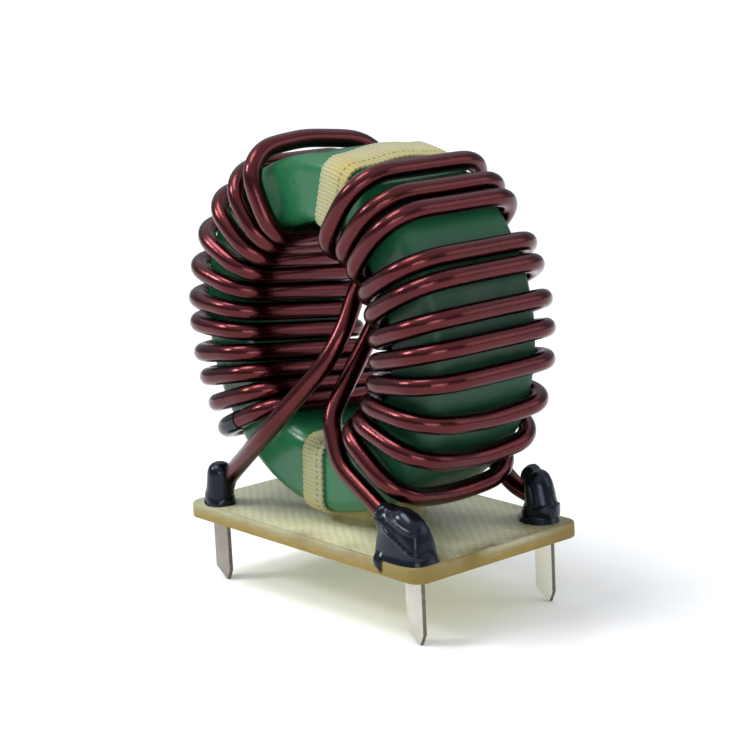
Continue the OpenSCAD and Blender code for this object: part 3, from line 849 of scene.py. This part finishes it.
def smooth_stations(stations, steps):
    """Catmull-Rom points through the stations of a sleeve."""
    dense = []
    rows = [list(s[0]) + list(s[1:]) for s in stations]
    for k in range(len(rows) - 1):
        a, b, c, d = rows[max(k - 1, 0)], rows[k], rows[k + 1], rows[min(k + 2, len(rows) - 1)]
        for i in range(steps):
            t = i / steps
            row = [0.5 * (2 * q + (r - p) * t + (2 * p - 5 * q + 4 * r - s) * t * t
                          + (3 * q - p - 3 * r + s) * t ** 3) for p, q, r, s in zip(a, b, c, d)]
            dense.append((row[:3], *row[3:]))
    dense.append(stations[-1])
    return dense


def draped_rings(stations, count, crease, crease_length):
    """Rings of a sleeve that stands on the board like a tent, one section across each station.

    A station is x, the middle in y, half the width and the height of the ridge.
    """
    skirt, skirt_height, ridge_power, side_power = 0.25, 0.3, 0.75, 0.8
    # Two folds run down the near side, away from the mouth: the height and fall of each
    folds, folds_from, folds_at = ((4.5, 0.5), (5.7, 0.32)), 13, 13.5
    fold_height, fold_half = 0.16, 0.14
    rings = []
    for x, middle, half, ridge in stations:
        ring = []
        for j in range(count):
            a = 2 * math.pi * j / count
            across, rise = math.cos(a), max(math.sin(a), 0)
            lift = (ridge - BOARD_T) * rise ** ridge_power
            flare = skirt * math.exp(-lift / skirt_height)
            side = (half + flare) * math.copysign(abs(across) ** side_power, across)
            place = Vector((x, middle + side, BOARD_T + lift))
            fold = 0
            for fold_z, fold_fall in folds:
                apart = place.z - fold_z + fold_fall * (x - folds_at)
                fold += fold_height * math.exp(-(apart / fold_half) ** 2) * (x > folds_from) * (across < 0)
            out = Vector((0, across, rise)).normalized()
            ring.append(place + out * (fold + crease * rise * noise.noise(place / crease_length)))
        rings.append(ring)
    return rings


def dense_rows(rows, steps):
    """Rows of numbers filled in between with smooth steps."""
    return [row[1:] for row in smooth_stations([((0, 0, 0), *r) for r in rows], steps)]


def join_shells(shells):
    """Points and faces of several closed shells as one."""
    points, faces = [], []
    for shell_points, shell_faces in shells:
        faces += [tuple(i + len(points) for i in f) for f in shell_faces]
        points += shell_points
    return points, faces


def build_boots(sleeve):
    nearer = 0.35
    front, back = -PIN_Y - nearer, PIN_Y - nearer
    # Each station of a swept sleeve: place from its origin, half-width along and across the board, creasing
    bullet_left = [
        (0.45, 0, 0.02, 1.86, 1.7, 0.8), (0.48, 0, 0.2, 1.74, 1.62, 0.6), (0.4, 0, 0.75, 1.66, 1.56, 0.3),
        (0.5, 0, 1.25, 1.54, 1.5, 0.2), (0.62, 0, 2, 1.42, 1.46, 0.2), (0.7, 0, 3.2, 1.36, 1.4, 0.2),
        (0.8, 0, 4, 1.14, 1.18, 0.2), (0.86, 0, 4.42, 0.7, 0.74, 0.1), (0.88, 0, 4.56, 0.1, 0.1, 0)]
    bullet_back_left = [
        (0, 0, 0.02, 1.9, 1.85, 0.8), (0, 0, 0.3, 1.78, 1.75, 0.6), (0, 0, 1, 1.6, 1.6, 0.3),
        (0.1, 0, 2.3, 1.52, 1.55, 0.2), (0.3, 0, 3.4, 1.4, 1.42, 0.3), (0.5, 0, 4.1, 1.1, 1.15, 0.3),
        (0.6, 0, 4.5, 0.6, 0.65, 0.2), (0.6, 0, 4.6, 0.1, 0.1, 0)]
    # The torn sleeve: a collar left on the board, and above it a body that bends to its ragged mouth
    torn_collar = [
        (-0.3, 0, 0.02, 2.3, 2.05, 1), (-0.28, 0, 0.2, 2.24, 2.0, 1.2), (-0.24, 0, 0.62, 2.0, 1.86, 0.9),
        (-0.2, 0, 0.92, 1.84, 1.76, 0.5), (-0.18, 0, 0.98, 1.7, 1.62, 0.2), (-0.1, 0, 1.0, 1.3, 1.3, 0),
        (-0.05, 0, 1.5, 1.2, 1.2, 0)]
    torn_body = [
        (0.02, 0, 1.5, 1.15, 1.15, 0), (0.08, 0, 1.44, 1.5, 1.45, 0.3), (0.22, 0, 1.3, 1.98, 1.7, 0.9),
        (0.12, 0, 1.6, 1.74, 1.62, 0.4), (0.02, 0, 2.2, 1.62, 1.58, 0.15), (-0.1, 0, 2.9, 1.56, 1.54, 0.15),
        (-0.25, 0, 3.6, 1.5, 1.5, 0.15), (-0.5, 0, 4.3, 1.34, 1.34, 0.2), (-0.72, 0, 4.75, 0.98, 0.98, 0.2),
        (-0.85, 0, 4.96, 0.45, 0.45, 0.1), (-0.88, 0, 5.0, 0.06, 0.06, 0)]
    torn_mouth = [
        (-0.1, 0, 3.7, 0.8, 0.8, 0), (-0.6, 0, 4.05, 1.12, 1.12, 0.2), (-1.1, 0, 4.4, 1.16, 1.16, 0.3),
        (-1.5, 0.05, 4.66, 1.12, 1.12, 0.4), (-1.72, 0.05, 4.8, 0.98, 0.98, 0.4),
        (-1.86, 0.05, 4.88, 0.68, 0.68, 0.3), (-1.9, 0.05, 4.91, 0.1, 0.1, 0)]
    # The loose sleeve at the front: x, middle, half-width and ridge of each section, then its mouth and drip
    tent = [
        (18.1, 0.35, 0.4, 1.75), (18.0, 0.3, 0.85, 2.0), (17.75, 0.2, 1.2, 2.9), (17.45, 0.15, 1.45, 4.3),
        (17.05, 0.15, 1.6, 5.2), (16.4, 0.15, 1.72, 5.85), (15.5, 0.15, 1.8, 6.3), (14.5, 0.12, 1.8, 6.5),
        (13.5, 0.1, 1.75, 6.35), (12.7, 0.08, 1.65, 5.8), (12.1, 0.05, 1.5, 4.9), (11.75, 0.05, 1.25, 3.8),
        (11.6, 0.05, 0.8, 2.6)]
    mouth = [
        (14.4, 0, 4.1, 0.9, 0.9, 0), (13.6, 0.06, 4.52, 1.5, 1.5, 0.3), (12.8, 0.08, 4.96, 1.52, 1.5, 1),
        (12.25, 0.1, 5.28, 1.46, 1.45, 1.7), (12.15, 0.1, 5.32, 1.3, 1.3, 1.3),
        (12.3, 0.1, 5.25, 1.1, 1.12, 0.6), (13.2, 0.1, 4.7, 0.98, 0.98, 0)]
    drip = [
        (12.8, -1.3, 0.5, 0.85, 0.4, 0), (12.85, -1.85, 0.02, 0.75, 0.2, 0.2),
        (12.95, -2.02, -0.45, 0.5, 0.13, 0.3), (13.2, -2.02, -0.95, 0.22, 0.1, 0.2),
        (13.3, -2.0, -1.25, 0.05, 0.04, 0)]
    facets, steps, crease = 56, 6, 0.16
    tent_facets, tent_steps, tent_crease, tent_crease_length = 160, 10, 0.14, 1.6

    def swept(rows, x, y, z=BOARD_T, crease_length=0.9):
        stations = [((x + dx, y + dy, z + dz), *rest) for dx, dy, dz, *rest in rows]
        return lofted(swept_rings(smooth_stations(stations, steps), facets, crease, crease_length))

    draped = lofted(draped_rings(dense_rows([(x, front + dy, *rest) for x, dy, *rest in tent], tent_steps),
                                 tent_facets, tent_crease, tent_crease_length))
    shapes = {
        "boot_front_left": [swept(bullet_left, -PIN_X, front)],
        "boot_front_right": [draped, swept(mouth, 0, front, 0), swept(drip, 0, front)],
        "boot_back_right": [swept(torn_collar, PIN_X, back), swept(torn_body, PIN_X, back),
                            swept(torn_mouth, PIN_X, back, crease_length=0.5)],
        "boot_back_left": [swept(bullet_back_left, -PIN_X, back)]}
    for node, shells in shapes.items():
        points, faces = join_shells(shells)
        piece = new_piece("shrunk_" + node, points, faces, sleeve)
        face_outwards(piece, crisp_angle=60)
        hand_over(piece, "shrink_sleeve", node)


def build_glue(glue):
    middle_x, half_x, half_y = 0.6, 4.4, 4.45
    count, levels, squareness, waisting, unevenness, gap = 96, 14, 0.55, 0.07, 0.03, 0.01
    rings = []
    for k in range(levels + 1):
        t = k / levels
        ring = []
        for j in range(count):
            a = 2 * math.pi * j / count
            ux = math.copysign(abs(math.cos(a)) ** squareness, math.cos(a))
            uy = math.copysign(abs(math.sin(a)) ** squareness, math.sin(a))
            # The bead is waisted between its foot on the board and its wet line on the ring
            waist = 1 - waisting * math.sin(math.pi * t)
            waist += unevenness * noise.noise(Vector((3 * ux, 3 * uy, 2 * t)))
            x, y = middle_x + half_x * waist * ux, CORE_SHIFT + half_y * waist * uy
            roof = CORE_Z - math.sqrt((CORE_R + TOUCH) ** 2 - x * x)
            ring.append(Vector((x, y, BOARD_T + gap + t * (roof - BOARD_T - 2 * gap))))
        rings.append(ring)
    # The roof follows the ring's rim in to the middle
    for share in (0.75, 0.5, 0.25):
        ring = []
        for p in rings[levels]:
            x, y = middle_x + (p.x - middle_x) * share, CORE_SHIFT + (p.y - CORE_SHIFT) * share
            ring.append(Vector((x, y, CORE_Z - math.sqrt((CORE_R + TOUCH) ** 2 - x * x))))
        rings.append(ring)
    points, faces = lofted(rings)
    piece = new_piece("glue_bead", points, faces, glue)
    face_outwards(piece, crisp_angle=60)
    hand_over(piece, "amber_glue", "core_glue")


def finish_solder(solder):
    for place in ("front_left", "front_right", "back_right", "back_left"):
        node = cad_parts["solder_" + place]
        node.data.materials.clear()
        node.data.materials.append(solder)


def white_paper():
    # Matt white backdrop paper with a faint tooth
    material, tree, place = new_material("matt_white_paper")
    tooth = add(tree, "TexNoise", {"Vector": place, "Scale": per_mm(3), "Detail": 3})
    return finished(material, {
        "Base Color": layered(tree, "#FAFAFA", (tooth, "#FFFFFF")), "Roughness": 0.9,
        "Specular IOR Level": 0.1})


def build_floor(paper):
    half, z = 3000, -PIN_DROP
    corners = [(-half, -half, z), (half, -half, z), (half, half, z), (-half, half, z)]
    floor = new_piece("studio_floor", corners, [(0, 1, 2, 3)], paper)


def hang_lamp(name, kind, aim):
    """A lamp that shines along a direction, linked to the scene."""
    lamp = bpy.data.lights.new(name, kind)
    holder = bpy.data.objects.new(name, lamp)
    holder.rotation_euler = Vector(aim).to_track_quat("-Z", "Y").to_euler()
    bpy.context.scene.collection.objects.link(holder)
    return lamp, holder


def light_the_studio():
    world = bpy.data.worlds.new("pale_room")
    world.use_nodes = True
    back = world.node_tree.nodes["Background"]
    back.inputs["Color"].default_value = colour("#E2E9F4")
    back.inputs["Strength"].default_value = 0.44
    bpy.context.scene.world = world
    # A wide even light from above keeps the whole floor white, a narrower one draws the glints along the wire
    for name, way, spread, energy in (("overhead_diffuser", (0.05, 0.05, -1), 110, 1.15),
                                      ("overhead_key", (0.22, 0.35, -1), 26, 1.35)):
        lamp, _ = hang_lamp(name, "SUN", way)
        lamp.energy, lamp.angle = energy, math.radians(spread)
    # Boxes of soft light: place and aim in millimetres, size and power
    middle = (0, 0, 18)
    for name, place, aim, size, power in (
            ("left_softbox", (-220, -260, 260), middle, (80, 80), 0.52),
            ("right_fill", (260, 230, 150), middle, (180, 180), 0.14),
            ("front_fill", (300, -200, 90), (12, 0, 4), (200, 120), 0.3)):
        lamp, holder = hang_lamp(name, "AREA", Vector(aim) - Vector(place))
        lamp.shape, lamp.energy = "RECTANGLE", power
        lamp.size, lamp.size_y = (s * MM for s in size)
        holder.location = Vector(place) * MM
    view = bpy.context.scene.view_settings
    view.view_transform = "Standard"
    view.look = "None"


def set_camera():
    lens = bpy.data.cameras.new("photo_camera")
    lens.lens = CAMERA_LENS
    lens.sensor_width = 36
    lens.clip_start = 0.01
    holder = bpy.data.objects.new("photo_camera", lens)
    columns = (CAMERA_RIGHT, CAMERA_UP, -CAMERA_AHEAD)
    turn = Matrix([[c[i] for c in columns] for i in range(3)]).to_4x4()
    holder.matrix_world = Matrix.Translation(CAMERA_PLACE * MM) @ turn
    bpy.context.scene.collection.objects.link(holder)
    bpy.context.scene.camera = holder


set_camera()
black_sleeve = shrunk_polyolefin()
build_windings(enamelled_copper(), black_sleeve)
build_core(green_epoxy_powder_coat())
build_tapes(woven_cloth_tape())
build_board(glass_epoxy_face(), glass_epoxy_edge())
build_pins(tinned_brass(), sheared_brass_edge())
build_boots(black_sleeve)
build_glue(amber_glue())
finish_solder(set_solder())
build_floor(white_paper())
light_the_studio()
